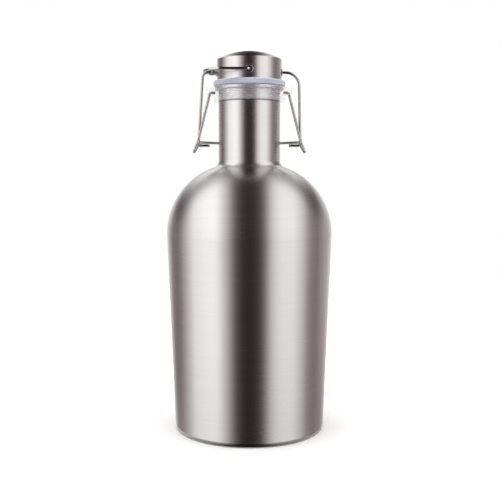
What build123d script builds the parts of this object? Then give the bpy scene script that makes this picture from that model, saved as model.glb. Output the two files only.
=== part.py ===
from build123d import *
import math
import os

os.makedirs("parts", exist_ok=True)

# Swing-top growler, millimetres, standing on z = 0 with the bottle axis on Z.
# The closure wires lie left and right of the neck (X), the lever folds to the back (+Y).

# bottle
wall = 0.9
base_r = 55.0
body_r = 60.2
base_edge_r = 3.5
shoulder_z = 144.0
shoulder_r = 51.2
neck_r = 22.4
neck_fillet_r = 5.0
neck_stub = 1.5
neck_length = 49.0
base_flange_r = 47.0
base_rise = 4.6
base_crown = 0.6
base_slope = 6.0
base_seat = 3.0
base_bend_r = 1.6

# mouth and collar
rim_out = 2.4
rim_h = 2.75
rim_round = 0.7
collar_grow = 3.6
collar_h = 10.5
collar_below_rim = 0.25
collar_round = 0.5
slip_fit = 0.05
rim_play = 0.2
ear_stand = 1.0
ear_front = 4.4
ear_back = 3.0
ear_low = 2.0
ear_round = 0.8
ear_root = 2.0
web_gap = 0.9
web_high = 3.4
web_low = 1.5
cheek_high = 4.9
cheek_gap = 1.0
cheek_t = 0.7

# closure wires
wire_r = 1.0
wire_bend_r = 1.5
running_fit = 0.06
clear_gap = 0.3
pivot_below_rim = 4.35
pin_depth = 2.4
pin_end_gap = 0.4
knee_gap = 0.5
lever_drop = 35.7
lever_flare = 8.8
hairpin_gap = 0.6
hairpin_out = 2.7
hairpin_drop = 6.9
back_wire_gap = 3.1
hook_in = 0.2
hook_length = 8.3
bail_right_in = 1.2
bail_left_in = 3.6
bail_right_bend_r = 9.5
bail_left_bend_r = 3.4

# cap
gasket_h = 3.8
gasket_gap = 0.05
gasket_round = 0.9
plug_depth = 2.8
plug_gap = 1.8
plug_taper = 1.1
cap_grow = 1.0
cap_side_h = 15.3
dome_h = 5.9
cap_wall = 0.8
core_top_gap = 1.5
bore_above_cap = 6.2
keeper_hole_r = 2.5
bush_wall = 1.14
bush_length = 3.0
bush_flange = 0.5
bush_flange_t = 0.45
spigot_r = 5.0
washer_in = 5.5
washer_t = 1.0
screw_r = 2.0
screw_play = 0.2
screw_length = 9.0
screw_hole = 9.5
screw_head_h = 2.2
screw_head_round = 1.2
slot_length = 3.2
slot_w = 0.9
slot_deep = 1.2

# keeper
sleeve_wall = 0.84
sleeve_off_cap = 0.75
sleeve_off_bend = 4.4
keeper_off_cap = 0.8
keeper_tail = 3.0
keeper_side_in = 1.9
keeper_side_out = 4.9
keeper_side_back = 5.6
keeper_far_out = 8.2
keeper_far_back = 12.7
keeper_turn_in = 0.8
keeper_bends = [1.9, 5.0, 7.0, 7.0, wire_bend_r]

# where things sit, worked out from the sizes above
shoulder_x = body_r - shoulder_r
base_reach = math.hypot(base_r - shoulder_x, shoulder_z)
side_angle = math.atan2(-shoulder_z, base_r - shoulder_x) + math.acos(shoulder_r / base_reach)
fillet_x = neck_r + neck_fillet_r
fillet_dz = math.sqrt((shoulder_r + neck_fillet_r) ** 2 - (fillet_x - shoulder_x) ** 2)
fillet_z = shoulder_z + fillet_dz
top_angle = math.atan2(fillet_dz, fillet_x - shoulder_x)
weld_z = fillet_z + neck_stub
rim_z = weld_z + neck_length
mouth_z = rim_z + rim_h
rim_r = neck_r + rim_out
collar_r = neck_r + collar_grow
collar_top = mouth_z - collar_below_rim
collar_bottom = collar_top - collar_h
pivot_z = mouth_z - pivot_below_rim
pad_x = collar_r + ear_stand
pin_end_x = pad_x - pin_depth
knee_x = pad_x + wire_r + knee_gap
cheek_x = knee_x + wire_r + cheek_gap
corner_x = knee_x + lever_flare
hook_leg_x = corner_x - hook_in
hook_end_x = hook_leg_x - hook_length
cross_x = hook_leg_x - wire_r - clear_gap
cross_z = pivot_z - lever_drop
hook_z = cross_z - 2 * wire_r - clear_gap
tip_x = corner_x + hairpin_out
tip_z = cross_z - hairpin_drop
strand_near_y = 2 * wire_r + clear_gap
strand_far_y = strand_near_y + 2 * wire_r + hairpin_gap
hairpin_r = wire_r + 0.4 * hairpin_gap
back_r = neck_r + back_wire_gap
right_top_x = hook_leg_x - bail_right_in
left_top_x = hook_leg_x - bail_left_in
gasket_z = mouth_z + gasket_gap
cap_z = gasket_z + gasket_h
cap_r = neck_r + cap_grow
cap_top = cap_z + cap_side_h
apex_z = cap_top + dome_h
bore_z = cap_z + bore_above_cap
core_r = cap_r - cap_wall
plug_r = neck_r - wall - plug_gap
plug_z = gasket_z - plug_depth
bore_r = wire_r + running_fit
bush_r = bore_r + bush_wall
sleeve_r = bore_r + sleeve_wall
sleeve_x = cap_r + sleeve_off_cap
front_y = -(cap_r + wire_r + keeper_off_cap)
tail_y = -(sleeve_r + wire_r)

# drawn body shell: turned-in foot flange, side, shoulder and the neck fillet
with BuildPart() as body_shell:
    with BuildSketch(Plane.XZ):
        with BuildLine():
            side_top_x = shoulder_x + shoulder_r * math.cos(side_angle)
            side_top_z = shoulder_z + shoulder_r * math.sin(side_angle)
            FilletPolyline(
                (base_flange_r, 0),
                (base_r, 0),
                (side_top_x, side_top_z),
                radius=base_edge_r,
            )
            CenterArc(
                (shoulder_x, shoulder_z),
                shoulder_r,
                math.degrees(side_angle),
                math.degrees(top_angle - side_angle),
            )
            CenterArc(
                (fillet_x, fillet_z),
                neck_fillet_r,
                math.degrees(top_angle) + 180,
                -math.degrees(top_angle),
            )
            Line((neck_r, fillet_z), (neck_r, weld_z))
            offset(amount=wall, side=Side.LEFT)
        make_face()
    revolve(axis=Axis.Z)
body_shell.part.label = "body_shell"

# pressed base disc welded inside the foot flange
with BuildPart() as base_disc:
    with BuildSketch(Plane.XZ):
        with BuildLine():
            FilletPolyline(
                (0, base_rise + base_crown),
                (base_flange_r - base_seat - base_slope, base_rise),
                (base_flange_r - base_seat, wall),
                (base_flange_r + base_seat, wall),
                radius=base_bend_r,
            )
            offset(amount=wall, side=Side.LEFT)
        make_face()
    revolve(axis=Axis.Z)
base_disc.part.label = "base_disc"

# straight neck tube, butt welded to the shell
with BuildPart() as neck_tube:
    with BuildSketch(Plane.XY.offset(weld_z)):
        Circle(neck_r)
        Circle(neck_r - wall, mode=Mode.SUBTRACT)
    extrude(amount=rim_z - weld_z)
neck_tube.part.label = "neck_tube"

# rolled mouth rim that the gasket seals on, it also holds the collar down
with BuildPart() as mouth_rim:
    with BuildSketch(Plane.XY.offset(rim_z)):
        Circle(rim_r)
        Circle(neck_r - wall, mode=Mode.SUBTRACT)
    extrude(amount=rim_h)
    fillet(mouth_rim.edges().filter_by(GeomType.CIRCLE).group_by(Axis.Z)[-1], radius=rim_round)
mouth_rim.part.label = "mouth_rim"

# moulded collar with a forked ear on each side for the lever pivots
with BuildPart() as collar:
    with BuildSketch(Plane.XY.offset(collar_bottom)):
        Circle(collar_r)
    extrude(amount=collar_h)
    fillet(collar.edges().filter_by(GeomType.CIRCLE).group_by(Axis.Z)[0], radius=collar_round)
    for side in (1, -1):
        # behind the pivot both leaves are a short arc, so the flared leg passes them all the way up
        for leaf_x, leaf_t, leaf_high in (
            (collar_r - ear_root, ear_stand + ear_root, collar_top - pivot_z),
            (cheek_x, cheek_t, cheek_high),
        ):
            with BuildSketch(Plane((side * leaf_x, 0, pivot_z), (0, 1, 0), (1, 0, 0))):
                Circle(ear_back)
                with Locations((0, -ear_low - ear_back / 2)):
                    Rectangle(2 * ear_back, ear_back, mode=Mode.SUBTRACT)
                with Locations((-ear_front / 2, (leaf_high - ear_low) / 2)):
                    RectangleRounded(ear_front, leaf_high + ear_low, ear_round)
            extrude(amount=side * leaf_t)
        web_x = (collar_r + cheek_x + cheek_t / 2) / 2
        web_y = -(ear_front + wire_r + web_gap) / 2
        with BuildSketch(Plane.XY.offset(pivot_z - web_low)):
            with Locations((side * web_x, web_y)):
                Rectangle(cheek_x + cheek_t / 2 - collar_r, ear_front - wire_r - web_gap)
        extrude(amount=web_low + web_high)
        with BuildSketch(Plane(origin=(side * pad_x, 0, pivot_z), z_dir=(side, 0, 0))):
            Circle(bore_r)
        extrude(amount=-(pin_depth + pin_end_gap), mode=Mode.SUBTRACT)
    with BuildSketch(Plane.XY.offset(collar_bottom)):
        Circle(neck_r + slip_fit)
    extrude(amount=collar_h, mode=Mode.SUBTRACT)
    with BuildSketch(Plane.XY.offset(rim_z)):
        Circle(rim_r + rim_play)
    extrude(amount=collar_h, mode=Mode.SUBTRACT)
collar.part.label = "collar"

# lever: one sprung wire from ear to ear, round the back of the neck; each lower
# corner folds out into a hairpin and comes back in over the bail's hook
reach = math.hypot(cross_x, strand_near_y)
touch = math.acos(back_r / reach) - math.atan2(strand_near_y, cross_x)
touch_x = back_r * math.cos(touch)
touch_y = back_r * math.sin(touch)
lever_half = [
    (pin_end_x, 0, pivot_z),
    (knee_x, 0, pivot_z),
    (corner_x, -strand_far_y, cross_z),
    (tip_x, -strand_far_y, tip_z),
    (tip_x, -strand_near_y, tip_z),
    (cross_x, -strand_near_y, cross_z),
    (touch_x, touch_y, cross_z),
]
lever_bends = [wire_bend_r, wire_bend_r, hairpin_r, hairpin_r, wire_bend_r]
with BuildPart() as lever_wire:
    with BuildLine() as lever_line:
        FilletPolyline(*lever_half, radius=lever_bends)
        ThreePointArc(
            (touch_x, touch_y, cross_z),
            (0, back_r, cross_z),
            (-touch_x, touch_y, cross_z),
        )
        FilletPolyline(*[(-x, y, z) for x, y, z in reversed(lever_half)], radius=lever_bends)
    with BuildSketch(Plane(origin=(pin_end_x, 0, pivot_z), z_dir=(1, 0, 0))):
        Circle(wire_r)
    sweep()
lever_wire.part.label = "lever_wire"

# bail: a hook under the lever wire at each lower corner, up both sides and across through the cap
with BuildPart() as bail_wire:
    with BuildLine():
        FilletPolyline(
            (hook_end_x, 0, hook_z),
            (hook_leg_x, 0, hook_z),
            (right_top_x, 0, bore_z),
            (-left_top_x, 0, bore_z),
            (-hook_leg_x, 0, hook_z),
            (-hook_end_x, 0, hook_z),
            radius=[wire_bend_r, bail_right_bend_r, bail_left_bend_r, wire_bend_r],
        )
    with BuildSketch(Plane(origin=(hook_end_x, 0, hook_z), z_dir=(1, 0, 0))):
        Circle(wire_r)
    sweep()
bail_wire.part.label = "bail_wire"

# pressed cap shell with a hole each side for the bail and one in front for the keeper
with BuildPart() as cap_shell:
    with BuildSketch(Plane.XZ):
        with BuildLine():
            dome_r = (cap_r ** 2 + dome_h ** 2) / (2 * dome_h)
            Line((cap_r, cap_z), (cap_r, cap_top))
            RadiusArc((cap_r, cap_top), (0, apex_z), -dome_r)
            offset(amount=cap_wall, side=Side.LEFT)
        make_face()
    revolve(axis=Axis.Z)
    with BuildSketch(Plane.YZ):
        with Locations((0, bore_z)):
            Circle(bush_r)
    extrude(amount=2 * cap_r, both=True, mode=Mode.SUBTRACT)
    with BuildSketch(Plane.XZ):
        with Locations((0, bore_z)):
            Circle(keeper_hole_r)
    extrude(amount=2 * cap_r, mode=Mode.SUBTRACT)
cap_shell.part.label = "cap_shell"

# moulded core inside the cap, its spigot carries the gasket
with BuildPart() as cap_core:
    with BuildSketch(Plane.XY.offset(cap_z)):
        Circle(core_r)
    extrude(amount=cap_side_h - core_top_gap)
    with BuildSketch(Plane.XY.offset(plug_z)):
        Circle(spigot_r)
    extrude(amount=cap_z - plug_z)
    with BuildSketch(Plane.YZ):
        with Locations((0, bore_z)):
            Circle(wire_r + 2 * clear_gap)
    extrude(amount=cap_r, both=True, mode=Mode.SUBTRACT)
    for side in (1, -1):
        with BuildSketch(Plane.YZ.offset(side * (core_r - bush_length))):
            with Locations((0, bore_z)):
                Circle(bush_r)
        extrude(amount=side * 2 * bush_length, mode=Mode.SUBTRACT)
    with BuildSketch(Plane.XZ.offset(core_r / 2)):
        with Locations((0, bore_z)):
            Circle(wire_r)
    extrude(amount=cap_r, mode=Mode.SUBTRACT)
    with BuildSketch(Plane.XY.offset(plug_z)):
        Circle(screw_r)
    extrude(amount=screw_hole, mode=Mode.SUBTRACT)
cap_core.part.label = "cap_core"

# silicone gasket: a flange on the mouth rim and a short tapered plug inside it
with BuildPart() as gasket:
    with BuildSketch(Plane.XZ):
        with BuildLine():
            Polyline(
                (spigot_r, plug_z),
                (plug_r - plug_taper, plug_z),
                (plug_r, gasket_z),
                (collar_r, gasket_z),
                (collar_r, cap_z),
                (spigot_r, cap_z),
                close=True,
            )
        make_face()
    revolve(axis=Axis.Z)
    fillet(gasket.edges().filter_by(GeomType.CIRCLE).group_by(SortBy.RADIUS)[-1], radius=gasket_round)
gasket.part.label = "gasket"

# retaining washer and pan head screw under the gasket
with BuildPart() as gasket_washer:
    with BuildSketch(Plane.XY.offset(plug_z - washer_t)):
        Circle(plug_r - washer_in)
        Circle(screw_r + screw_play, mode=Mode.SUBTRACT)
    extrude(amount=washer_t)
gasket_washer.part.label = "gasket_washer"

with BuildPart() as washer_screw:
    with BuildSketch(Plane.XY.offset(plug_z - washer_t)):
        Circle(2 * screw_r)
    extrude(amount=-screw_head_h)
    fillet(
        washer_screw.edges().filter_by(GeomType.CIRCLE).group_by(Axis.Z)[0],
        radius=screw_head_round,
    )
    with BuildSketch(Plane.XY.offset(plug_z - washer_t)):
        Circle(screw_r)
    extrude(amount=washer_t + screw_length)
    with BuildSketch(Plane.XY.offset(plug_z - washer_t - screw_head_h)):
        Rectangle(slot_length, slot_w)
        Rectangle(slot_w, slot_length)
    extrude(amount=slot_deep, mode=Mode.SUBTRACT)
washer_screw.part.label = "washer_screw"

# flanged bushes the bail turns in
bushings = []
for side in (1, -1):
    with BuildPart() as bushing:
        with BuildSketch(Plane(origin=(side * (core_r - bush_length), 0, bore_z), z_dir=(side, 0, 0))):
            Circle(bush_r)
            Circle(bore_r, mode=Mode.SUBTRACT)
        extrude(amount=bush_length + cap_wall + bush_flange_t / 2)
        with BuildSketch(Plane(origin=(side * (cap_r + slip_fit), 0, bore_z), z_dir=(side, 0, 0))):
            Circle(bush_r + bush_flange)
            Circle(bore_r, mode=Mode.SUBTRACT)
        extrude(amount=bush_flange_t)
    bushings.append(bushing.part)
bushing_right = bushings[0]
bushing_left = bushings[1]
bushing_right.label = "bushing_right"
bushing_left.label = "bushing_left"

# sleeve that turns on the bail beside the cap, brazed to the keeper wire
with BuildPart() as keeper_sleeve:
    with BuildSketch(Plane(origin=(-sleeve_x, 0, bore_z), z_dir=(-1, 0, 0))):
        Circle(sleeve_r)
        Circle(bore_r, mode=Mode.SUBTRACT)
    extrude(amount=left_top_x - sleeve_off_bend - sleeve_x)
keeper_sleeve.part.label = "keeper_sleeve"

# keeper: from the hole in front, round the left of the cap to the sleeve
with BuildPart() as keeper_wire:
    with BuildLine():
        FilletPolyline(
            (0, -core_r / 2, bore_z),
            (0, front_y, bore_z),
            (-cap_r + keeper_side_in, front_y, bore_z),
            (-cap_r - keeper_side_out, front_y + keeper_side_back, bore_z),
            (-cap_r - keeper_far_out, front_y + keeper_far_back, bore_z),
            (-left_top_x + keeper_turn_in, tail_y, bore_z),
            (-cap_r - keeper_tail, tail_y, bore_z),
            radius=keeper_bends,
        )
    with BuildSketch(Plane(origin=(0, -core_r / 2, bore_z), z_dir=(0, -1, 0))):
        Circle(wire_r)
    sweep()
keeper_wire.part.label = "keeper_wire"

export_step(body_shell.part, "parts/body_shell.step")
export_step(base_disc.part, "parts/base_disc.step")
export_step(neck_tube.part, "parts/neck_tube.step")
export_step(mouth_rim.part, "parts/mouth_rim.step")
export_step(collar.part, "parts/collar.step")
export_step(lever_wire.part, "parts/lever_wire.step")
export_step(bail_wire.part, "parts/bail_wire.step")
export_step(cap_shell.part, "parts/cap_shell.step")
export_step(cap_core.part, "parts/cap_core.step")
export_step(gasket.part, "parts/gasket.step")
export_step(gasket_washer.part, "parts/gasket_washer.step")
export_step(washer_screw.part, "parts/washer_screw.step")
export_step(bushing_right, "parts/bushing_right.step")
export_step(bushing_left, "parts/bushing_left.step")
export_step(keeper_sleeve.part, "parts/keeper_sleeve.step")
export_step(keeper_wire.part, "parts/keeper_wire.step")
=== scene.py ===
import math
import bpy
import numpy as np
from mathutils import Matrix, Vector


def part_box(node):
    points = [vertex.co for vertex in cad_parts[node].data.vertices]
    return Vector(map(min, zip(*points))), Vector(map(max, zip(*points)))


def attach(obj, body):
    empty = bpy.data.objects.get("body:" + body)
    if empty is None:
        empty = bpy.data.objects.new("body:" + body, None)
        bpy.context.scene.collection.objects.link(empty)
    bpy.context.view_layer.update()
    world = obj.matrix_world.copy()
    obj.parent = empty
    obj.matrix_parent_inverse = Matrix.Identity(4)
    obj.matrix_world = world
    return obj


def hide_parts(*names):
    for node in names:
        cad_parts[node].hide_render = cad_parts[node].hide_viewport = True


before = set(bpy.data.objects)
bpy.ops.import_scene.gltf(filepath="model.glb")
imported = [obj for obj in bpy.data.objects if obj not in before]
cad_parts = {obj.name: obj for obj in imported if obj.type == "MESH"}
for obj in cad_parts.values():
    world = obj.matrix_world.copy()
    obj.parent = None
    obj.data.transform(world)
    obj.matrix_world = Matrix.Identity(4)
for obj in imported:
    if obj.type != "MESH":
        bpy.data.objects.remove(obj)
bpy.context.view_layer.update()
mm = 0.001
uvPerMm = 0.01

# heights and radii that several pieces share, read off the frame
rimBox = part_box("mouth_rim")
mouthZ = rimBox[1][2] / mm
rimLow = rimBox[0][2] / mm
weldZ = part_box("neck_tube")[0][2] / mm
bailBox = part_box("bail_wire")
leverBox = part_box("lever_wire")
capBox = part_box("cap_shell")
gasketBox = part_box("gasket")
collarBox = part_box("collar")
wireR = 1.0
hookZ = bailBox[0][2] / mm + wireR
boreZ = bailBox[1][2] / mm - wireR
tipX = leverBox[1][0] / mm - wireR
pivotZ = leverBox[1][2] / mm - wireR
capLow = capBox[0][2] / mm
apexZ = capBox[1][2] / mm
print("frame loaded, mouth at", round(mouthZ, 2), "mm")


# A path with rounded corners: each corner is cut back by radius * tan(turn / 2) and
# filled with an arc of that radius; straight runs are divided, closer near their ends.
def roundedPath(points, radii, closed=False, gap=2.0, arcStep=0.22, minArc=5):
    points = np.array(points, float)
    count = len(points)
    tiny = 1e-6
    endGap = 0.2  # first and last step of a straight run
    cuts = {}
    for number, i in enumerate(range(count) if closed else range(1, count - 1)):
        before, corner, after = points[i - 1], points[i], points[(i + 1) % count]
        toBefore = (before - corner) / np.linalg.norm(before - corner)
        toAfter = (after - corner) / np.linalg.norm(after - corner)
        turn = math.pi - math.acos(np.clip(np.dot(toBefore, toAfter), -1, 1))
        radius = radii[number] if hasattr(radii, "__len__") else radii
        if radius < tiny or turn < 1e-4:
            cuts[i] = (corner, corner, np.array([corner]))
            continue
        back = radius * math.tan(turn / 2)
        start, end = corner + toBefore * back, corner + toAfter * back
        middle = (toBefore + toAfter) / np.linalg.norm(toBefore + toAfter)
        centre = corner + middle * radius / math.cos(turn / 2)
        steps = max(minArc, int(turn / arcStep) + 1)
        angle = np.linspace(0, turn, steps)[:, None]
        outward = (start - centre) / radius
        cuts[i] = (start, end, centre + radius * (np.cos(angle) * outward - np.sin(angle) * toBefore))
    pieces = []
    for i in range(count if closed else count - 1):
        following = (i + 1) % count
        start = cuts[i][1] if i in cuts else points[i]
        end = cuts[following][0] if following in cuts else points[following]
        pieces.append(cuts[i][2] if i in cuts else start[None, :])
        length = np.linalg.norm(end - start)
        if length > tiny:
            inner = np.linspace(0, 1, max(2, int(length / gap) + 2))[1:-1]
            near = min(endGap / length, endGap)
            share = np.unique(np.concatenate([[near], inner, [1 - near]]))[:, None]
            pieces.append(start + (end - start) * share)
    if not closed:
        pieces.append(points[-1][None, :])
    path = np.vstack(pieces)
    keep = np.ones(len(path), bool)
    keep[1:] = np.linalg.norm(np.diff(path, axis=0), axis=1) > 1e-4
    path = path[keep]
    if closed and np.linalg.norm(path[0] - path[-1]) < 1e-4:
        path = path[:-1]
    return path


# Mesh from arrays in millimetres: quads, then fans round the given poles, with a UV
# for every corner and smooth shading throughout.
def makeMesh(name, verts, quads, quadUv, tris=None, triUv=None, rings=()):
    quads = quads.reshape(-1, 4)
    loops = [quads.ravel()]
    totals = [np.full(len(quads), 4)]
    uvs = [quadUv.reshape(-1, 2)]
    if tris is not None and len(tris):
        loops.append(tris.ravel())
        totals.append(np.full(len(tris), 3))
        uvs.append(triUv.reshape(-1, 2))
    for ring in rings:
        loops.append(ring)
        totals.append(np.array([len(ring)]))
        uvs.append(verts[ring][:, :2] * uvPerMm)
    loops = np.concatenate(loops)
    totals = np.concatenate(totals)
    starts = np.concatenate([[0], np.cumsum(totals)[:-1]])
    mesh = bpy.data.meshes.new(name)
    mesh.vertices.add(len(verts))
    mesh.vertices.foreach_set("co", (verts * mm).ravel())
    mesh.loops.add(len(loops))
    mesh.loops.foreach_set("vertex_index", loops.astype(np.int32))
    mesh.polygons.add(len(totals))
    mesh.polygons.foreach_set("loop_start", starts.astype(np.int32))
    mesh.polygons.foreach_set("use_smooth", np.ones(len(totals), bool))
    mesh.update(calc_edges=True)
    layer = mesh.uv_layers.new(name="around")
    layer.data.foreach_set("uv", np.concatenate(uvs).ravel())
    mesh.validate()
    piece = bpy.data.objects.new(name, mesh)
    bpy.context.scene.collection.objects.link(piece)
    return piece


# Corners of a grid of rows by sides: quads join each row to the next, u runs 0 to 1 round
# the sides and v is the length along the rows.
def gridFaces(rows, sides, along, wrapAt):
    row = np.arange(rows)[:, None]
    side = np.arange(sides)[None, :]
    nextRow = (row + 1) % wrapAt
    nextSide = (side + 1) % sides
    quads = np.stack([
        row * sides + side, row * sides + nextSide,
        nextRow * sides + nextSide, nextRow * sides + side,
    ], -1)
    left, right = side / sides + 0 * row, (side + 1) / sides + 0 * row
    low, high = along[row] * uvPerMm + 0 * side, along[row + 1] * uvPerMm + 0 * side
    uv = np.stack([
        np.stack([left, low], -1), np.stack([right, low], -1),
        np.stack([right, high], -1), np.stack([left, high], -1),
    ], -2)
    return quads, uv


# Length along a run of points, from 0 at the first.
def lengthAlong(points):
    return np.concatenate([[0], np.cumsum(np.linalg.norm(np.diff(points, axis=0), axis=1))])


# Twice the area that a closed outline goes round, above 0 when it runs anticlockwise.
def turnSense(outline):
    x, y = outline[:, 0], outline[:, 1]
    return np.sum(x * np.roll(y, -1) - np.roll(x, -1) * y)


# Surface of revolution: every outline point (r, z) is turned through full circles of
# the given number of sides; a point on the axis becomes one pole.
def latheGrid(outline, sides, closed):
    turn = 2 * np.pi * np.arange(sides) / sides
    radius, height = outline[:, 0], outline[:, 1]
    verts = np.stack([
        radius[:, None] * np.cos(turn),
        radius[:, None] * np.sin(turn),
        np.repeat(height[:, None], sides, 1),
    ], -1).reshape(-1, 3)
    along = lengthAlong(outline)
    along = np.append(along, along[-1] + 1)  # the row that closes the outline
    rows = len(outline) if closed else len(outline) - 1
    quads, uv = gridFaces(rows, sides, along, len(outline))
    return verts, quads, uv


# The same surface as a piece; closed outlines are run anticlockwise so faces look outward.
def lathe(name, outline, sides=160, closed=True, turnTo="z"):
    outline = np.array(outline, float)
    if closed and turnSense(outline) < 0:
        outline = outline[::-1]
    verts, quads, uv = latheGrid(outline, sides, closed)
    verts, quads, uv, tris, triUv = closePoles(outline, sides, verts, quads, uv)
    if turnTo == "x":  # cyclic swap of the axes keeps the faces outward
        verts = verts[:, [2, 0, 1]]
    return makeMesh(name, verts, quads, uv, tris, triUv)


# Rows of points on the axis collapse to one vertex and their quads become triangles.
def closePoles(outline, sides, verts, quads, uv):
    onAxis = np.abs(outline[:, 0]) < 1e-9
    remap = np.arange(len(verts))
    for row in np.flatnonzero(onAxis):
        remap[row * sides:(row + 1) * sides] = row * sides
    quads = remap[quads].reshape(-1, 4)
    uv = uv.reshape(-1, 4, 2)
    lowFlat = quads[:, 0] == quads[:, 1]
    highFlat = quads[:, 2] == quads[:, 3]
    lowOnly, highOnly = lowFlat & ~highFlat, highFlat & ~lowFlat
    tris = np.concatenate([quads[lowOnly][:, [0, 2, 3]], quads[highOnly][:, [0, 1, 2]]])
    triUv = np.concatenate([uv[lowOnly][:, [0, 2, 3]], uv[highOnly][:, [0, 1, 2]]])
    good = ~lowFlat & ~highFlat
    quads, uv = quads[good], uv[good]
    verts, quads, tris = dropUnused(verts, quads, tris)
    return verts, quads, uv, tris, triUv


# Vertices that no face uses are left out and the faces numbered again.
def dropUnused(verts, quads, tris):
    used, inverse = np.unique(np.concatenate([quads.ravel(), tris.ravel()]), return_inverse=True)
    return verts[used], inverse[:quads.size].reshape(-1, 4), inverse[quads.size:].reshape(-1, 3)


# Round wire: circles of the wire's radius carried along the path on frames that turn
# as little as possible, the ends drawn in over a quarter circle and closed.
def wire(name, path, radius, sides=20):
    path = np.array(path, float)
    ahead = np.gradient(path, axis=0)
    ahead /= np.linalg.norm(ahead, axis=1)[:, None]
    side = np.cross(ahead[0], [0.0, 0.0, 1.0])
    if np.linalg.norm(side) < 0.1:
        side = np.cross(ahead[0], [0.0, 1.0, 0.0])
    sideways = np.empty_like(path)
    for i in range(len(path)):  # one turn of the frame per path point
        side = side - ahead[i] * np.dot(side, ahead[i])
        side /= np.linalg.norm(side)
        sideways[i] = side
    upwards = np.cross(ahead, sideways)

    endRows = 5
    soft = 0.35 * radius  # how far the ends are rounded
    endTurn = np.linspace(0, math.pi / 2, endRows + 1)[:-1]
    drawn = (soft * (1 - np.cos(endTurn)))[:, None]
    centres = np.vstack([path[0] + ahead[0] * drawn, path[1:-1], path[-1] - ahead[-1] * drawn[::-1]])
    grow = radius - soft * (1 - np.sin(endTurn))
    widths = np.concatenate([grow, np.full(len(path) - 2, radius), grow[::-1]])
    repeats = np.ones(len(path), int)
    repeats[[0, -1]] = endRows
    sideways, upwards = np.repeat(sideways, repeats, 0), np.repeat(upwards, repeats, 0)

    turn = (2 * np.pi * np.arange(sides) / sides)[None, :, None]
    circles = np.cos(turn) * sideways[:, None] + np.sin(turn) * upwards[:, None]
    verts = (centres[:, None] + widths[:, None, None] * circles).reshape(-1, 3)
    rows = len(centres)
    quads, uv = gridFaces(rows - 1, sides, lengthAlong(centres), rows)
    verts = np.vstack([verts, path[0], path[-1]])
    first, last = len(verts) - 2, len(verts) - 1
    here = np.arange(sides)
    following = (here + 1) % sides
    lastRow = (rows - 1) * sides
    tris = np.vstack([
        np.stack([np.full(sides, first), following, here], -1),
        np.stack([np.full(sides, last), lastRow + here, lastRow + following], -1),
    ])
    triUv = np.zeros((len(tris), 3, 2))
    triUv[:] = [(0, 0.02), (0.05, 0.02), (0.1, 0.02)]
    return makeMesh(name, verts, quads, uv, tris, triUv)


# Block with a rounded plan: the closed plan outline is repeated at each height and drawn
# in near both ends over a quarter circle; turned to x, the plan lies in (y, z).
def block(name, plan, low, high, edge, turnTo="z"):
    plan = np.array(plan, float)
    if turnSense(plan) < 0:
        plan = plan[::-1]
    tangent = np.roll(plan, -1, 0) - np.roll(plan, 1, 0)
    tangent /= np.linalg.norm(tangent, axis=1)[:, None]
    outward = np.stack([tangent[:, 1], -tangent[:, 0]], -1)
    turn = np.linspace(0, math.pi / 2, 5)
    insets = np.concatenate([edge * (1 - np.sin(turn)), edge * (1 - np.cos(turn))])
    heights = np.concatenate([low + edge * (1 - np.cos(turn)), high - edge * (1 - np.sin(turn))])
    sides, rows = len(plan), len(heights)
    loops = plan[None] - outward[None] * insets[:, None, None]
    verts = np.concatenate([loops, np.repeat(heights[:, None, None], sides, 1)], -1).reshape(-1, 3)
    quads, uv = gridFaces(rows - 1, sides, np.arange(rows) / rows / uvPerMm, rows)
    if turnTo == "x":
        verts = verts[:, [2, 0, 1]]
    bottom = np.arange(sides)[::-1]
    top = (rows - 1) * sides + np.arange(sides)
    return makeMesh(name, verts, quads, uv, rings=[bottom, top])


# Every vertex of the piece goes up by the height, z + height.
def raiseBy(piece, height):
    places = np.empty(len(piece.data.vertices) * 3)
    piece.data.vertices.foreach_get("co", places)
    places[2::3] += height * mm
    piece.data.vertices.foreach_set("co", places)


# Several pieces become one mesh under the given name.
def join(name, pieces):
    bpy.ops.object.select_all(action="DESELECT")
    for piece in pieces:
        piece.select_set(True)
    bpy.context.view_layer.objects.active = pieces[0]
    bpy.ops.object.join()
    pieces[0].name = name
    return pieces[0]


# A finished piece gets its material and the body it rides on, and the frame's nodes it stands for are hidden.
def finishPiece(piece, body, nodes, material):
    piece.data.materials.clear()
    piece.data.materials.append(material)
    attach(piece, body)
    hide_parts(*nodes)
    print("made", piece.name, len(piece.data.polygons), "faces")


# An empty material with its node lists and its shader.
def newMaterial(name):
    material = bpy.data.materials.new(name)
    material.use_nodes = True
    nodes = material.node_tree.nodes
    links = material.node_tree.links
    shader = nodes["Principled BSDF"]
    return material, nodes, links, shader


# One Math node; numbers are typed in and sockets are linked.
def mathNode(nodes, links, operation, first, second=None, third=None):
    node = nodes.new("ShaderNodeMath")
    node.operation = operation
    for socket, value in zip(node.inputs, (first, second, third)):
        if value is None:
            continue
        if isinstance(value, (int, float)):
            socket.default_value = value
        else:
            links.new(value, socket)
    return node.outputs[0]


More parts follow.
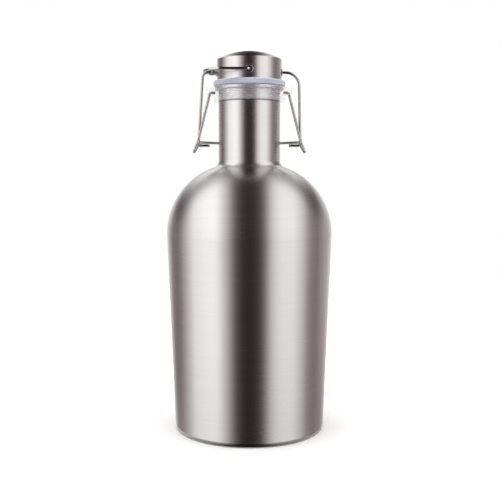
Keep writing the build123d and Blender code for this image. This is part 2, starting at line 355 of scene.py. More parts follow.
# Grain that runs in rings round the bottle: noise read at (x, y, z - r), stretched so
# that it changes fast up the wall and slowly round it.
def ringNoise(nodes, links, around, across, detail=2.0):
    coord = nodes.new("ShaderNodeTexCoord")
    split = nodes.new("ShaderNodeSeparateXYZ")
    links.new(coord.outputs["Object"], split.inputs[0])
    flat = nodes.new("ShaderNodeCombineXYZ")
    links.new(split.outputs[0], flat.inputs[0])
    links.new(split.outputs[1], flat.inputs[1])
    length = nodes.new("ShaderNodeVectorMath")
    length.operation = "LENGTH"
    links.new(flat.outputs[0], length.inputs[0])
    depth = mathNode(nodes, links, "SUBTRACT", split.outputs[2], length.outputs["Value"])
    place = nodes.new("ShaderNodeCombineXYZ")
    links.new(mathNode(nodes, links, "MULTIPLY", split.outputs[0], around), place.inputs[0])
    links.new(mathNode(nodes, links, "MULTIPLY", split.outputs[1], around), place.inputs[1])
    links.new(mathNode(nodes, links, "MULTIPLY", depth, across), place.inputs[2])
    noise = nodes.new("ShaderNodeTexNoise")
    noise.inputs["Scale"].default_value = 1.0
    noise.inputs["Detail"].default_value = detail
    noise.inputs["Roughness"].default_value = 0.6
    links.new(place.outputs[0], noise.inputs["Vector"])
    return noise.outputs["Fac"]


# Even noise in object space, scale cells to the metre.
def objectNoise(nodes, links, scale, detail=3.0):
    coord = nodes.new("ShaderNodeTexCoord")
    noise = nodes.new("ShaderNodeTexNoise")
    noise.inputs["Scale"].default_value = scale
    noise.inputs["Detail"].default_value = detail
    links.new(coord.outputs["Object"], noise.inputs["Vector"])
    return noise.outputs["Fac"]


# low..high of the value is spread over outLow..outHigh and held there at both ends.
def spread(nodes, links, value, low, high, outLow, outHigh):
    node = nodes.new("ShaderNodeMapRange")
    node.inputs["From Min"].default_value = low
    node.inputs["From Max"].default_value = high
    node.inputs["To Min"].default_value = outLow
    node.inputs["To Max"].default_value = outHigh
    links.new(value, node.inputs["Value"])
    return node.outputs["Result"]


# dark * (1 - fac) + light * fac
def twoColours(nodes, links, fac, dark, light):
    node = nodes.new("ShaderNodeMix")
    node.data_type = "RGBA"
    node.inputs[6].default_value = (*dark, 1)
    node.inputs[7].default_value = (*light, 1)
    links.new(fac, node.inputs[0])
    return node.outputs[2]


# The height tilts the normal, on top of the normal from under it if there is one.
def bump(nodes, links, height, strength, distance, under=None):
    node = nodes.new("ShaderNodeBump")
    node.inputs["Strength"].default_value = strength
    node.inputs["Distance"].default_value = distance
    links.new(height, node.inputs["Height"])
    if under is not None:
        links.new(under, node.inputs["Normal"])
    return node.outputs["Normal"]


# Brushed stainless: grain = 0.6 fine + 0.4 broad ring noise sets colour and roughness, a soft
# cloud of handling marks adds roughness, and fine grain over slow waves tilts the normal.
def brushedSteel(name, look):
    material, nodes, links, shader = newMaterial(name)
    fineShare, broadAround, broadAcross = 0.6, 0.4, 0.12
    around, across = look["grainAround"], look["grainAcross"]
    fine = ringNoise(nodes, links, around, across)
    broad = ringNoise(nodes, links, around * broadAround, across * broadAcross)
    cloud = objectNoise(nodes, links, look["cloudScale"])
    broadPart = mathNode(nodes, links, "MULTIPLY", broad, 1 - fineShare)
    grain = mathNode(nodes, links, "MULTIPLY_ADD", fine, fineShare, broadPart)
    tone = spread(nodes, links, grain, 0.3, 0.7, 0.0, 1.0)
    links.new(twoColours(nodes, links, tone, look["dark"], look["light"]), shader.inputs["Base Color"])
    brushed = spread(nodes, links, grain, 0.3, 0.7, look["roughLow"], look["roughHigh"])
    handled = spread(nodes, links, cloud, 0.35, 0.7, 0.0, look["handling"])
    links.new(mathNode(nodes, links, "ADD", brushed, handled), shader.inputs["Roughness"])
    shader.inputs["Metallic"].default_value = 1.0
    shader.inputs["Anisotropic"].default_value = look["anisotropy"]
    shader.inputs["Anisotropic Rotation"].default_value = look["turn"]
    tangent = nodes.new("ShaderNodeTangent")
    tangent.direction_type = "UV_MAP"
    tangent.uv_map = "around"
    links.new(tangent.outputs[0], shader.inputs["Tangent"])
    waves = objectNoise(nodes, links, look["waveScale"], 1.0)
    slow = bump(nodes, links, waves, look["wave"], 0.001)
    links.new(bump(nodes, links, fine, look["grainDepth"], 0.0001, slow), shader.inputs["Normal"])
    return material


# Drawn bright wire: faint lengthwise die marks, small dull patches.
def brightWire(name, look):
    material, nodes, links, shader = newMaterial(name)
    coord = nodes.new("ShaderNodeUVMap")
    coord.uv_map = "around"
    mapping = nodes.new("ShaderNodeMapping")
    mapping.inputs["Scale"].default_value = (look["marksAround"], look["marksAlong"], 1)
    links.new(coord.outputs[0], mapping.inputs["Vector"])
    marks = nodes.new("ShaderNodeTexNoise")
    marks.inputs["Scale"].default_value = 1.0
    marks.inputs["Detail"].default_value = 2.0
    links.new(mapping.outputs[0], marks.inputs["Vector"])
    patches = objectNoise(nodes, links, look["patchScale"])
    tone = spread(nodes, links, patches, 0.35, 0.7, 0, 1)
    rough = spread(nodes, links, patches, 0.3, 0.75, look["roughLow"], look["roughHigh"])
    links.new(twoColours(nodes, links, tone, look["light"], look["dark"]), shader.inputs["Base Color"])
    links.new(rough, shader.inputs["Roughness"])
    shader.inputs["Metallic"].default_value = 1.0
    links.new(bump(nodes, links, marks.outputs["Fac"], look["markDepth"], 0.0001), shader.inputs["Normal"])
    return material


# Small turned part: cloudy dull patches and a fine skin, both read in object space.
def turnedSteel(name, look):
    material, nodes, links, shader = newMaterial(name)
    cloud = objectNoise(nodes, links, look["cloudScale"])
    skin = objectNoise(nodes, links, look["skinScale"], 2.0)
    tone = spread(nodes, links, cloud, 0.35, 0.7, 0, 1)
    rough = spread(nodes, links, cloud, 0.3, 0.75, look["roughLow"], look["roughHigh"])
    links.new(twoColours(nodes, links, tone, look["light"], look["dark"]), shader.inputs["Base Color"])
    links.new(rough, shader.inputs["Roughness"])
    shader.inputs["Metallic"].default_value = 1.0
    links.new(bump(nodes, links, skin, look["skinDepth"], 0.00005), shader.inputs["Normal"])
    return material


# Moulded plastic or silicone: slight flow streaks in the colour, a satin skin with a
# fine grain, light passing through by its share, and cover, how much the plastic hides.
def moulded(name, look):
    material, nodes, links, shader = newMaterial(name)
    flow = objectNoise(nodes, links, look["flowScale"])
    skin = objectNoise(nodes, links, look["skinScale"], 2.0)
    tone = spread(nodes, links, flow, 0.3, 0.7, 0, 1)
    rough = spread(nodes, links, skin, 0.3, 0.7, look["roughLow"], look["roughHigh"])
    links.new(twoColours(nodes, links, tone, look["dark"], look["light"]), shader.inputs["Base Color"])
    links.new(rough, shader.inputs["Roughness"])
    shader.inputs["Transmission Weight"].default_value = look["through"]
    shader.inputs["IOR"].default_value = look["ior"]
    shader.inputs["Alpha"].default_value = look["cover"]
    shader.inputs["Subsurface Weight"].default_value = look["under"]
    shader.inputs["Subsurface Radius"].default_value = (0.9, 1.0, 1.2)
    shader.inputs["Subsurface Scale"].default_value = 0.002
    links.new(bump(nodes, links, skin, look["skinDepth"], 0.0001), shader.inputs["Normal"])
    return material


bodyLook = {
    "grainAround": 9.0, "grainAcross": 2600.0, "grainDepth": 0.05,
    "dark": (0.57, 0.553, 0.546), "light": (0.605, 0.587, 0.58),
    "roughLow": 0.235, "roughHigh": 0.265, "cloudScale": 14.0, "handling": 0.03,
    "anisotropy": 0.75, "turn": 0.25, "waveScale": 9.0, "wave": 0.04,
}
neckLook = {**bodyLook, "grainAcross": 3000.0, "grainDepth": 0.02, "waveScale": 16.0, "wave": 0.015}
capLook = {
    **bodyLook, "grainAcross": 3200.0, "dark": (0.56, 0.54, 0.53), "light": (0.62, 0.60, 0.59),
    "roughLow": 0.20, "roughHigh": 0.28, "waveScale": 30.0, "wave": 0.03,
}
baseLook = {**bodyLook, "grainAcross": 1800.0, "roughLow": 0.3, "roughHigh": 0.4}
bodySteel = brushedSteel("bodySteel", bodyLook)
neckSteel = brushedSteel("neckSteel", neckLook)
capSteel = brushedSteel("capSteel", capLook)
baseSteel = brushedSteel("baseSteel", baseLook)
wireSteel = brightWire("wireSteel", {
    "light": (0.62, 0.595, 0.58), "dark": (0.5, 0.475, 0.46), "roughLow": 0.08, "roughHigh": 0.17,
    "marksAround": 30.0, "marksAlong": 2.0, "markDepth": 0.12, "patchScale": 160.0,
})
screwSteel = turnedSteel("screwSteel", {
    "light": (0.60, 0.59, 0.58), "dark": (0.5, 0.49, 0.48), "roughLow": 0.18, "roughHigh": 0.3,
    "cloudScale": 220.0, "skinScale": 2500.0, "skinDepth": 0.15,
})
clearPlastic = moulded("clearPlastic", {
    "dark": (0.89, 0.88, 0.94), "light": (0.93, 0.92, 0.97), "roughLow": 0.05, "roughHigh": 0.11,
    "through": 0.3, "cover": 0.16, "ior": 1.46, "under": 0.0,
    "flowScale": 60.0, "skinScale": 900.0, "skinDepth": 0.002,
})
silicone = moulded("silicone", {
    "dark": (0.47, 0.51, 0.60), "light": (0.58, 0.62, 0.71), "roughLow": 0.4, "roughHigh": 0.5,
    "through": 0.15, "cover": 1.0, "ior": 1.41, "under": 0.35,
    "flowScale": 50.0, "skinScale": 1200.0, "skinDepth": 0.12,
})
blackPlastic = moulded("blackPlastic", {
    "dark": (0.018, 0.018, 0.019), "light": (0.03, 0.03, 0.031), "roughLow": 0.42, "roughHigh": 0.55,
    "through": 0.0, "cover": 1.0, "ior": 1.49, "under": 0.0,
    "flowScale": 40.0, "skinScale": 1500.0, "skinDepth": 0.2,
})


# Dark line where the collar's foot shades the neck: within reach of that height the
# steel's colour is mixed to the shade by amount * (1 - |z - height| / reach), no less than 0.
def shadeLine(material, height, look):
    nodes, links = material.node_tree.nodes, material.node_tree.links
    shader = nodes["Principled BSDF"]
    coord = nodes.new("ShaderNodeTexCoord")
    split = nodes.new("ShaderNodeSeparateXYZ")
    links.new(coord.outputs["Object"], split.inputs[0])
    away = mathNode(nodes, links, "SUBTRACT", split.outputs[2], height * mm)
    away = mathNode(nodes, links, "ABSOLUTE", away)
    amount = spread(nodes, links, away, 0.0, look["reach"] * mm, look["amount"], 0.0)
    mix = nodes.new("ShaderNodeMix")
    mix.data_type = "RGBA"
    links.new(amount, mix.inputs[0])
    links.new(shader.inputs["Base Color"].links[0].from_socket, mix.inputs[6])
    mix.inputs[7].default_value = (*look["shade"], 1)
    links.new(mix.outputs[2], shader.inputs["Base Color"])


footShade = {"above": 0.1, "reach": 1.1, "amount": 0.95, "shade": (0.12, 0.11, 0.11)}
shadeLine(neckSteel, collarBox[0][2] / mm + footShade["above"], footShade)
print("materials ready")

shell = {
    "baseR": 55.0, "bodyR": 60.2, "shoulderZ": 144.0, "shoulderR": 51.2, "neckR": 22.4,
    "filletR": 5.0, "edgeR": 3.5, "wall": 0.9, "flangeR": 47.0,
}


# Shell wall at a given depth under the outer skin: foot flange, edge arc, straight
# side, shoulder arc and neck fillet are all offset by that depth.
def shellLine(depth):
    shoulderX, shoulderZ = shell["bodyR"] - shell["shoulderR"], shell["shoulderZ"]
    reach = math.hypot(shell["baseR"] - shoulderX, shoulderZ)
    lean = math.atan2(-shoulderZ, shell["baseR"] - shoulderX) + math.acos(shell["shoulderR"] / reach)
    filletX = shell["neckR"] + shell["filletR"]
    apart = shell["shoulderR"] + shell["filletR"]
    filletZ = shoulderZ + math.sqrt(apart ** 2 - (filletX - shoulderX) ** 2)
    top = math.atan2(filletZ - shoulderZ, filletX - shoulderX)
    big, small = shell["shoulderR"] - depth, shell["filletR"] + depth
    side = np.array([shoulderX + big * math.cos(lean), shoulderZ + big * math.sin(lean)])
    down = np.array([math.sin(lean), -math.cos(lean)])
    corner = side + down * ((side[1] - depth) / -down[1])
    footLine = [(shell["flangeR"], depth), corner, side]
    foot = roundedPath(footLine, [shell["edgeR"] - depth], gap=3.0, arcStep=0.12)
    angle = np.linspace(lean, top, 60)[1:]
    shoulder = np.stack([shoulderX + big * np.cos(angle), shoulderZ + big * np.sin(angle)], -1)
    angle = np.linspace(top + math.pi, math.pi, 20)[1:]
    fillet = np.stack([filletX + small * np.cos(angle), filletZ + small * np.sin(angle)], -1)
    neckX = shell["neckR"] - depth  # close rows keep the shading flat up to the weld
    neck = np.array([[neckX, weldZ - 0.4], [neckX, weldZ - 0.03], [neckX, weldZ]])
    return np.vstack([foot, shoulder, fillet, neck])


bodyOutline = np.vstack([shellLine(0.0), shellLine(shell["wall"])[::-1]])
bodyPiece = lathe("bodyShell", bodyOutline, sides=200)
finishPiece(bodyPiece, "bottle", ["body_shell"], bodySteel)

baseDish = {"rise": 4.6, "crown": 0.6, "flatR": 38.0, "footR": 44.0, "outR": 50.4, "wall": 0.9, "bend": 1.6}
dishLine = [
    (0, baseDish["rise"] + baseDish["crown"]), (baseDish["flatR"], baseDish["rise"]),
    (baseDish["footR"], baseDish["wall"]), (baseDish["outR"], baseDish["wall"]),
]
dishLow = roundedPath(dishLine, baseDish["bend"], gap=2.5)
dishHigh = dishLow + [0, baseDish["wall"]]
basePiece = lathe("baseDisc", np.vstack([dishLow, dishHigh[::-1]]), sides=160, closed=False)
finishPiece(basePiece, "bottle", ["base_disc"], baseSteel)

neckTube = {"outR": 22.4, "inR": 21.5, "edge": 0.05}
neckOutline = [
    (neckTube["outR"], weldZ), (neckTube["outR"], rimLow),
    (neckTube["inR"], rimLow), (neckTube["inR"], weldZ),
]
neckPiece = lathe("neckTube", roundedPath(neckOutline, neckTube["edge"], closed=True, gap=2.0, minArc=3))
finishPiece(neckPiece, "bottle", ["neck_tube"], neckSteel)

rimLook = {"outR": 24.8, "inR": 21.5, "rounds": [0.1, 0.6, 0.9, 0.7]}
rimOutline = [
    (rimLook["inR"], rimLow), (rimLook["outR"], rimLow),
    (rimLook["outR"], mouthZ), (rimLook["inR"], mouthZ),
]
rimPiece = lathe("mouthRim", roundedPath(rimOutline, rimLook["rounds"], closed=True, gap=0.8))
finishPiece(rimPiece, "bottle", ["mouth_rim"], capSteel)
print("bottle made")

collarLook = {
    "outR": 26.0, "boreR": 22.45, "seatR": 25.0, "rounds": [0.3, 0.5, 0.3, 0.2, 0.2, 0.2], "belowMouth": 0.25,
    "earIn": 25.5, "padX": 27.0, "cheekX": 30.5, "cheekThick": 0.7, "cheekHigh": 4.9,
    "front": 4.4, "back": 3.0, "low": 2.0, "corner": 0.8, "edge": 0.25,
    "webFront": 4.3, "webBack": 1.9, "webLow": 1.5, "webHigh": 3.4, "webRound": 0.4, "webInto": 0.2,
}
ringLow, ringHigh = collarBox[0][2] / mm, mouthZ - collarLook["belowMouth"]
ringOutline = [
    (collarLook["boreR"], ringLow), (collarLook["outR"], ringLow), (collarLook["outR"], ringHigh),
    (collarLook["seatR"], ringHigh), (collarLook["seatR"], rimLow), (collarLook["boreR"], rimLow),
]
ring = lathe("ring", roundedPath(ringOutline, collarLook["rounds"], closed=True, gap=0.8))


# Ear leaf in (y, z): upright in front of the pivot, an arc of the back radius behind it.
def leafPlan(look, top):
    angle = np.linspace(-math.asin(look["low"] / look["back"]), math.pi / 2, 22)
    back = look["back"] * np.stack([np.cos(angle), np.sin(angle)], -1)
    frontLine = [
        (0, look["back"]), (0, top), (-look["front"], top),
        (-look["front"], -look["low"]), (0, -look["low"]),
    ]
    front = roundedPath(frontLine, [look["corner"]] * 3, gap=0.8)
    return np.vstack([back, front[1:]]) + [0, pivotZ]


webLine = [
    (-collarLook["webFront"], pivotZ - collarLook["webLow"]),
    (-collarLook["webBack"], pivotZ - collarLook["webLow"]),
    (-collarLook["webBack"], pivotZ + collarLook["webHigh"]),
    (-collarLook["webFront"], pivotZ + collarLook["webHigh"]),
]
cheekOut = collarLook["cheekX"] + collarLook["cheekThick"]
webInto = collarLook["webInto"]  # how far the web runs into pad and cheek
leaves = [
    (leafPlan(collarLook, ringHigh - pivotZ), collarLook["earIn"], collarLook["padX"]),
    (leafPlan(collarLook, collarLook["cheekHigh"]), collarLook["cheekX"], cheekOut),
    (roundedPath(webLine, collarLook["webRound"], closed=True, gap=0.7),
     collarLook["padX"] - webInto, collarLook["cheekX"] + webInto),
]
collarParts = [ring]
for plan, near, far in leaves:
    collarParts.append(block("leafRight", plan, near, far, collarLook["edge"], turnTo="x"))
    collarParts.append(block("leafLeft", plan, -far, -near, collarLook["edge"], turnTo="x"))
collarPiece = join("collarRing", collarParts)
finishPiece(collarPiece, "bottle", ["collar"], clearPlastic)
print("collar made")

lever = {
    "pinX": 24.6, "kneeX": 28.5, "cornerX": 37.3, "crossX": 35.8, "nearY": 2.3, "farY": 4.9,
    "bendR": 1.5, "hairpinR": 1.24, "backR": 25.5, "drop": 35.7,
}
crossZ = pivotZ - lever["drop"]
tipZ = leverBox[0][2] / mm + wireR
reach = math.hypot(lever["crossX"], lever["nearY"])
touch = math.acos(lever["backR"] / reach) - math.atan2(lever["nearY"], lever["crossX"])
leverHalf = [
    (lever["pinX"], 0, pivotZ), (lever["kneeX"], 0, pivotZ), (lever["cornerX"], -lever["farY"], crossZ),
    (tipX, -lever["farY"], tipZ), (tipX, -lever["nearY"], tipZ), (lever["crossX"], -lever["nearY"], crossZ),
    (lever["backR"] * math.cos(touch), lever["backR"] * math.sin(touch), crossZ),
]
leverBends = [lever["bendR"], lever["bendR"], lever["hairpinR"], lever["hairpinR"], lever["bendR"]]
halfPath = roundedPath(leverHalf, leverBends, gap=1.5, arcStep=0.16)
angle = np.linspace(touch, math.pi - touch, 40)[1:-1]
backX, backY = lever["backR"] * np.cos(angle), lever["backR"] * np.sin(angle)
backPath = np.stack([backX, backY, np.full(len(angle), crossZ)], -1)
leverPath = np.vstack([halfPath, backPath, (halfPath * [-1, 1, 1])[::-1]])
leverPiece = wire("leverWire", leverPath, wireR)
finishPiece(leverPiece, "lever", ["lever_wire"], wireSteel)

bail = {"endX": 28.8, "legX": 37.1, "rightTopX": 35.9, "leftTopX": 33.5, "bends": [1.5, 9.5, 3.4, 1.5]}
bailCorners = [
    (bail["endX"], 0, hookZ), (bail["legX"], 0, hookZ), (bail["rightTopX"], 0, boreZ),
    (-bail["leftTopX"], 0, boreZ), (-bail["legX"], 0, hookZ), (-bail["endX"], 0, hookZ),
]
bailPiece = wire("bailWire", roundedPath(bailCorners, bail["bends"], gap=1.5, arcStep=0.12), wireR)
finishPiece(bailPiece, "bail", ["bail_wire"], wireSteel)

keeper = {
    "startY": -11.3, "frontY": -25.2, "tailY": -2.9, "bends": [1.9, 5.0, 7.0, 7.0, 1.5],
    "frontX": -21.5, "sideX": -28.3, "sideBack": 5.6, "farX": -31.6, "farBack": 12.7,
    "turnX": -32.7, "tailX": -26.4,
}
frontY, tailY = keeper["frontY"], keeper["tailY"]
keeperCorners = [
    (0, keeper["startY"], boreZ), (0, frontY, boreZ), (keeper["frontX"], frontY, boreZ),
    (keeper["sideX"], frontY + keeper["sideBack"], boreZ),
    (keeper["farX"], frontY + keeper["farBack"], boreZ),
    (keeper["turnX"], tailY, boreZ), (keeper["tailX"], tailY, boreZ),
]
keeperPiece = wire("keeperWire", roundedPath(keeperCorners, keeper["bends"], gap=1.5, arcStep=0.12), wireR)
finishPiece(keeperPiece, "cap", ["keeper_wire"], wireSteel)

sleeve = {"outR": 1.9, "boreR": 1.06, "rounds": [0.1, 0.25, 0.25, 0.1]}
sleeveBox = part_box("keeper_sleeve")
sleeveLeft, sleeveRight = sleeveBox[0][0] / mm, sleeveBox[1][0] / mm
sleeveOutline = [
    (sleeve["boreR"], sleeveLeft), (sleeve["outR"], sleeveLeft),
    (sleeve["outR"], sleeveRight), (sleeve["boreR"], sleeveRight),
]
sleevePath = roundedPath(sleeveOutline, sleeve["rounds"], closed=True, gap=0.6)
sleevePiece = lathe("keeperSleeve", sleevePath, sides=40, turnTo="x")
raiseBy(sleevePiece, boreZ)
finishPiece(sleevePiece, "cap", ["keeper_sleeve"], capSteel)
print("wires made")

cap = {
    "outR": 23.4, "sideH": 15.3, "domeH": 5.9, "wall": 0.8, "edge": 0.45,
    "sideHole": 2.2, "frontHole": 2.5, "columns": 240, "cells": 3, "pinch": 5.0,
}
capTop = capLow + cap["sideH"]
domeR = (cap["outR"] ** 2 + cap["domeH"] ** 2) / (2 * cap["domeH"])
step = 2 * math.pi * cap["outR"] / cap["columns"]


# Outline of the cap: foot, side rows one column-width apart, a small edge arc and the dome.
def capOutline():
    outR, edge = cap["outR"], cap["edge"]
    rows = boreZ + step * np.arange(-29, 30)
    rows = rows[(rows > capLow + 0.35) & (rows < capTop - edge - 0.15)]
    side = np.stack([np.full(len(rows), outR), rows], -1)
    foot = np.array([[outR - 0.12, capLow], [outR - 0.03, capLow + 0.05], [outR, capLow + 0.15]])
    slope = math.asin(outR / domeR)
    edgeZ = capTop - edge * 0.72  # centre of the edge arc
    angle = np.linspace(0, math.pi / 2 - slope, 6)
    turnArc = np.stack([outR - edge + edge * np.cos(angle), edgeZ + edge * np.sin(angle)], -1)
    angle = np.linspace(slope - edge / domeR * 1.2, 0, 50)
    dome = np.stack([domeR * np.sin(angle), apexZ - domeR + domeR * np.cos(angle)], -1)
    dome = dome[dome[:, 0] < turnArc[-1, 0] - 0.15]
    dome[-1, 0] = 0
    support = np.array([[outR, edgeZ - 0.12]])
    return np.vstack([foot, side, support, turnArc, dome])


# Cap sheet: the outline turned round the axis, and round each hole the grid is pinched.
# A square of a few cells goes to the hole's circle, place * (1 - t) * holeR / distance *
# square / half + place * t, with t rising smoothly from 0 there to 1 at the pinch distance.
def capSheet():
    outR = cap["outR"]
    outline = capOutline()
    verts, quads, uv = latheGrid(outline, cap["columns"], False)
    verts, quads, uv, tris, triUv = closePoles(outline, cap["columns"], verts, quads, uv)
    angle = np.arctan2(verts[:, 1], verts[:, 0])
    onSide = np.abs(np.hypot(verts[:, 0], verts[:, 1]) - outR) < 1e-6
    half = cap["cells"] * step
    drop = np.zeros(len(quads), bool)
    holes = ((0, cap["sideHole"]), (math.pi, cap["sideHole"]), (-math.pi / 2, cap["frontHole"]))
    for holeAngle, holeR in holes:
        fromHole = (angle - holeAngle + math.pi) % (2 * math.pi) - math.pi
        across, up = fromHole * outR, verts[:, 2] - boreZ
        square = np.maximum(np.abs(across), np.abs(up))
        distance = np.maximum(np.hypot(across, up), 1e-9)
        near = onSide & (square < cap["pinch"]) & (square > half - 1e-3)
        t = np.clip((square - half) / (cap["pinch"] - half), 0, 1)
        t = t * t * (3 - 2 * t)
        factor = (1 - t) * holeR / distance * square / half + t
        inside = onSide & (square < half + 1e-3)
        drop |= inside[quads].all(1)
        moved = holeAngle + across * factor / outR
        verts[near, 0] = outR * np.cos(moved[near])
        verts[near, 1] = outR * np.sin(moved[near])
        verts[near, 2] = (boreZ + up * factor)[near]
    verts, quads, tris = dropUnused(verts, quads[~drop], tris)
    return makeMesh("capShell", verts, quads, uv[~drop], tris, triUv)


capPiece = capSheet()
sheet = capPiece.modifiers.new("sheet", "SOLIDIFY")
sheet.thickness = cap["wall"] * mm
sheet.offset = -1
finishPiece(capPiece, "cap", ["cap_shell"], capSteel)

gasketLook = {
    "outR": 26.0, "plugR": 19.7, "tipR": 18.6, "holeR": 5.0, "thick": 3.8,
    "lineDepth": 0.12, "lineHalf": 0.18, "rounds": [0.2, 0.8, 0.5, 1.0, 0.1, 0.05, 0.1, 1.0, 0.2],
}
gasketHigh, plugZ = gasketBox[1][2] / mm, gasketBox[0][2] / mm
gasketLow = gasketHigh - gasketLook["thick"]
lineZ = (gasketLow + gasketHigh) / 2  # a fine parting line runs round the middle
gasketOutline = [
    (gasketLook["holeR"], plugZ), (gasketLook["tipR"], plugZ), (gasketLook["plugR"], gasketLow),
    (gasketLook["outR"], gasketLow), (gasketLook["outR"], lineZ - gasketLook["lineHalf"]),
    (gasketLook["outR"] - gasketLook["lineDepth"], lineZ),
    (gasketLook["outR"], lineZ + gasketLook["lineHalf"]), (gasketLook["outR"], gasketHigh),
    (gasketLook["holeR"], gasketHigh),
]
gasketPiece = lathe("gasketRing", roundedPath(gasketOutline, gasketLook["rounds"], closed=True, gap=1.2))
finishPiece(gasketPiece, "cap", ["gasket"], silicone)
print("cap made")

# flanged bushes the bail turns in, drawn along x then set on the bore's height
bushLook = {"boreR": 1.06, "barrelR": 2.2, "flangeR": 2.7, "flangeX": 23.45, "round": 0.12}
for name, side, node in (("bushRight", 1, "bushing_right"), ("bushLeft", -1, "bushing_left")):
    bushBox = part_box(node)
    innerX, outerX = sorted((abs(bushBox[0][0]) / mm, abs(bushBox[1][0]) / mm))
    bushOutline = np.array([
        (bushLook["boreR"], innerX), (bushLook["barrelR"], innerX),
        (bushLook["barrelR"], bushLook["flangeX"]), (bushLook["flangeR"], bushLook["flangeX"]),
        (bushLook["flangeR"], outerX), (bushLook["boreR"], outerX),
    ]) * [1, side]
    bushPath = roundedPath(bushOutline, bushLook["round"], closed=True, gap=0.5)
    bushPiece = lathe(name, bushPath, sides=48, turnTo="x")
    raiseBy(bushPiece, boreZ)
    finishPiece(bushPiece, "cap", [node], capSteel)

washerLook = {"holeR": 2.2, "outR": 14.2, "round": 0.3}
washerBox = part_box("gasket_washer")
washerLow, washerHigh = washerBox[0][2] / mm, washerBox[1][2] / mm
washerOutline = [
    (washerLook["holeR"], washerLow), (washerLook["outR"], washerLow),
    (washerLook["outR"], washerHigh), (washerLook["holeR"], washerHigh),
]
washerPath = roundedPath(washerOutline, washerLook["round"], closed=True, gap=0.9)
washerPiece = lathe("gasketWasher", washerPath, sides=96)
finishPiece(washerPiece, "cap", ["gasket_washer"], capSteel)

# carried-over pieces that only need their finish
for node, material in (("cap_core", blackPlastic), ("washer_screw", screwSteel)):
    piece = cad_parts[node]
    piece.data.materials.clear()
    piece.data.materials.append(material)

stage = {"floorHalf": 0.9, "floorColour": (0.9, 0.9, 0.9), "topPower": 40.0, "topSize": 1.6, "topHeight": 1.9}
floorMesh = bpy.data.meshes.new("floor")
half = stage["floorHalf"]
floorCorners = [(-half, -half, 0), (half, -half, 0), (half, half, 0), (-half, half, 0)]
floorMesh.from_pydata(floorCorners, [], [(0, 1, 2, 3)])
floor = bpy.data.objects.new("floor", floorMesh)
bpy.context.scene.collection.objects.link(floor)
floorMaterial, nodes, links, shader = newMaterial("floorPaper")
shader.inputs["Base Color"].default_value = (*stage["floorColour"], 1)
shader.inputs["Roughness"].default_value = 0.8
floorMesh.materials.append(floorMaterial)
floor.visible_glossy = False

topData = bpy.data.lights.new("topLight", "AREA")
topData.shape = "DISK"
topData.size = stage["topSize"]
topData.energy = stage["topPower"]
top = bpy.data.objects.new("topLight", topData)
top.location = (0, 0, stage["topHeight"])
top.visible_glossy = False
top.visible_camera = False
bpy.context.scene.collection.objects.link(top)

# The studio all round. Ring stops are (degrees, value): dark behind the camera, a tall soft
# box each side, dark edges and a white backdrop. Back stops are (how far back the direction
# looks, value): overhead the boxes stop short of the back. Below stops are (height of the
# direction, value): under the horizon the light falls off, and under the bottle it is dim.
studio = {
    "ring": [
        (-180, 1.0), (-150, 0.7), (-128, 0.32), (-112, 0.28), (-95, 0.85), (-82, 1.45), (-60, 1.7),
        (-46, 1.75), (-34, 1.05), (-20, 0.2), (-10, 0.055), (0, 0.04), (9, 0.06), (17, 0.13),
        (24, 0.5), (31, 1.1), (42, 1.45), (62, 1.5), (78, 1.0), (90, 0.45), (106, 0.32),
        (124, 0.6), (150, 0.7), (180, 1.0),
    ],
    "back": [(-1, 1.0), (0.15, 1.0), (0.35, 0.6), (0.5, 0.36), (0.64, 0.4), (0.82, 0.8), (1, 0.8)],
    "below": [(-1, 0.2), (-0.7, 0.25), (-0.52, 0.5), (-0.4, 0.86), (-0.1, 0.94), (0.1, 1.0), (1, 1.0)],
    "peak": 1.8, "strength": 0.98, "warmth": (0.28, 0.31), "plain": (0.5, 0.495, 0.49),
}
world = bpy.data.worlds.new("studio")
bpy.context.scene.world = world
world.use_nodes = True
nodes, links = world.node_tree.nodes, world.node_tree.links
background = nodes["Background"]
coord = nodes.new("ShaderNodeTexCoord")
split = nodes.new("ShaderNodeSeparateXYZ")
links.new(coord.outputs["Generated"], split.inputs[0])
skyX, skyY, skyZ = split.outputs[:3]


# Ramp through (place, value) stops between the given ends. Dim stops are a little warm:
# pale = (value / 1.3) ^ 0.6, and green and blue lose warmth * (1 - pale).
def stopRamp(place, stops, peak=1.0, warmth=(0, 0)):
    ramp = nodes.new("ShaderNodeValToRGB")
    first, last = stops[0][0], stops[-1][0]
    links.new(spread(nodes, links, place, first, last, 0.0, 1.0), ramp.inputs[0])
    elements = ramp.color_ramp.elements
    while len(elements) < len(stops):
        elements.new(0.5)
    for element, (at, value) in zip(elements, stops):  # all places first, then the colours
        element.position = (at - first) / (last - first)
    for element, (at, value) in zip(elements, stops):
        pale = min(1.0, value / 1.3) ** 0.6
        green, blue = 1 - warmth[0] * (1 - pale), 1 - warmth[1] * (1 - pale)
        element.color = (value / peak, value / peak * green, value / peak * blue, 1)
    return ramp.outputs[0]


# Bands that a round bottle shows upright all the way over its shoulder: the place on
# the ring is 2 asin(x / sqrt(2 - 2 y)), which on the horizon is the compass bearing.
chordSquared = mathNode(nodes, links, "MULTIPLY_ADD", skyY, -2.0, 2.0)
chord = mathNode(nodes, links, "SQRT", mathNode(nodes, links, "MAXIMUM", chordSquared, 0.0001))
sideShare = mathNode(nodes, links, "DIVIDE", skyX, chord)
sideShare = mathNode(nodes, links, "MINIMUM", mathNode(nodes, links, "MAXIMUM", sideShare, -1.0), 1.0)
halfBearing = mathNode(nodes, links, "ARCSINE", sideShare)
bearing = mathNode(nodes, links, "MULTIPLY", halfBearing, 360 / math.pi)
bands = stopRamp(bearing, studio["ring"], studio["peak"], studio["warmth"])

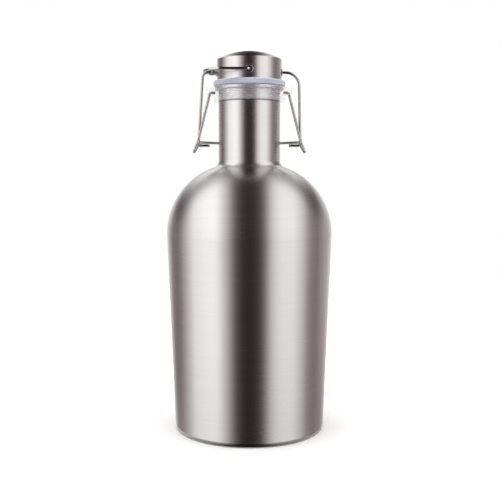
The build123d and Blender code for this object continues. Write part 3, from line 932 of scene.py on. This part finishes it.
# straight behind, near the horizon, the backdrop is plain
behind = spread(nodes, links, skyY, 0.76, 0.94, 0.0, 1.0)
nearHorizon = spread(nodes, links, skyZ, 0.2, 0.5, 1.0, 0.0)
mixSky = nodes.new("ShaderNodeMix")
mixSky.data_type = "RGBA"
links.new(mathNode(nodes, links, "MULTIPLY", behind, nearHorizon), mixSky.inputs[0])
links.new(bands, mixSky.inputs[6])
mixSky.inputs[7].default_value = (*studio["plain"], 1)
links.new(mixSky.outputs[2], background.inputs[0])

# the back stops only work above the horizon: dim = back * raised + 1 - raised
raised = spread(nodes, links, skyZ, 0.08, 0.3, 0.0, 1.0)
notRaised = mathNode(nodes, links, "SUBTRACT", 1.0, raised)
dim = mathNode(nodes, links, "MULTIPLY_ADD", stopRamp(skyY, studio["back"]), raised, notRaised)
fade = mathNode(nodes, links, "MULTIPLY", dim, stopRamp(skyZ, studio["below"]))
strength = mathNode(nodes, links, "MULTIPLY", fade, studio["strength"] * studio["peak"])
links.new(strength, background.inputs[1])

# the camera sees plain white behind the bottle
rayKind = nodes.new("ShaderNodeLightPath")
backdrop = nodes.new("ShaderNodeBackground")
backdrop.inputs[0].default_value = (1, 1, 1, 1)
pick = nodes.new("ShaderNodeMixShader")
links.new(rayKind.outputs["Is Camera Ray"], pick.inputs[0])
links.new(background.outputs[0], pick.inputs[1])
links.new(backdrop.outputs[0], pick.inputs[2])
links.new(pick.outputs[0], nodes["World Output"].inputs[0])

view = {"distance": 0.5925, "height": 0.186, "tiltDown": 5.245, "lens": 58.03, "sideways": 0.0005}
cameraData = bpy.data.cameras.new("camera")
cameraData.lens = view["lens"]
cameraData.sensor_width = 36
cameraObject = bpy.data.objects.new("camera", cameraData)
cameraObject.location = (view["sideways"], -view["distance"], view["height"])
cameraObject.rotation_euler = (math.radians(90 - view["tiltDown"]), 0, 0)
bpy.context.scene.collection.objects.link(cameraObject)
bpy.context.scene.camera = cameraObject
bpy.context.scene.view_settings.view_transform = "Standard"
print("stage ready")
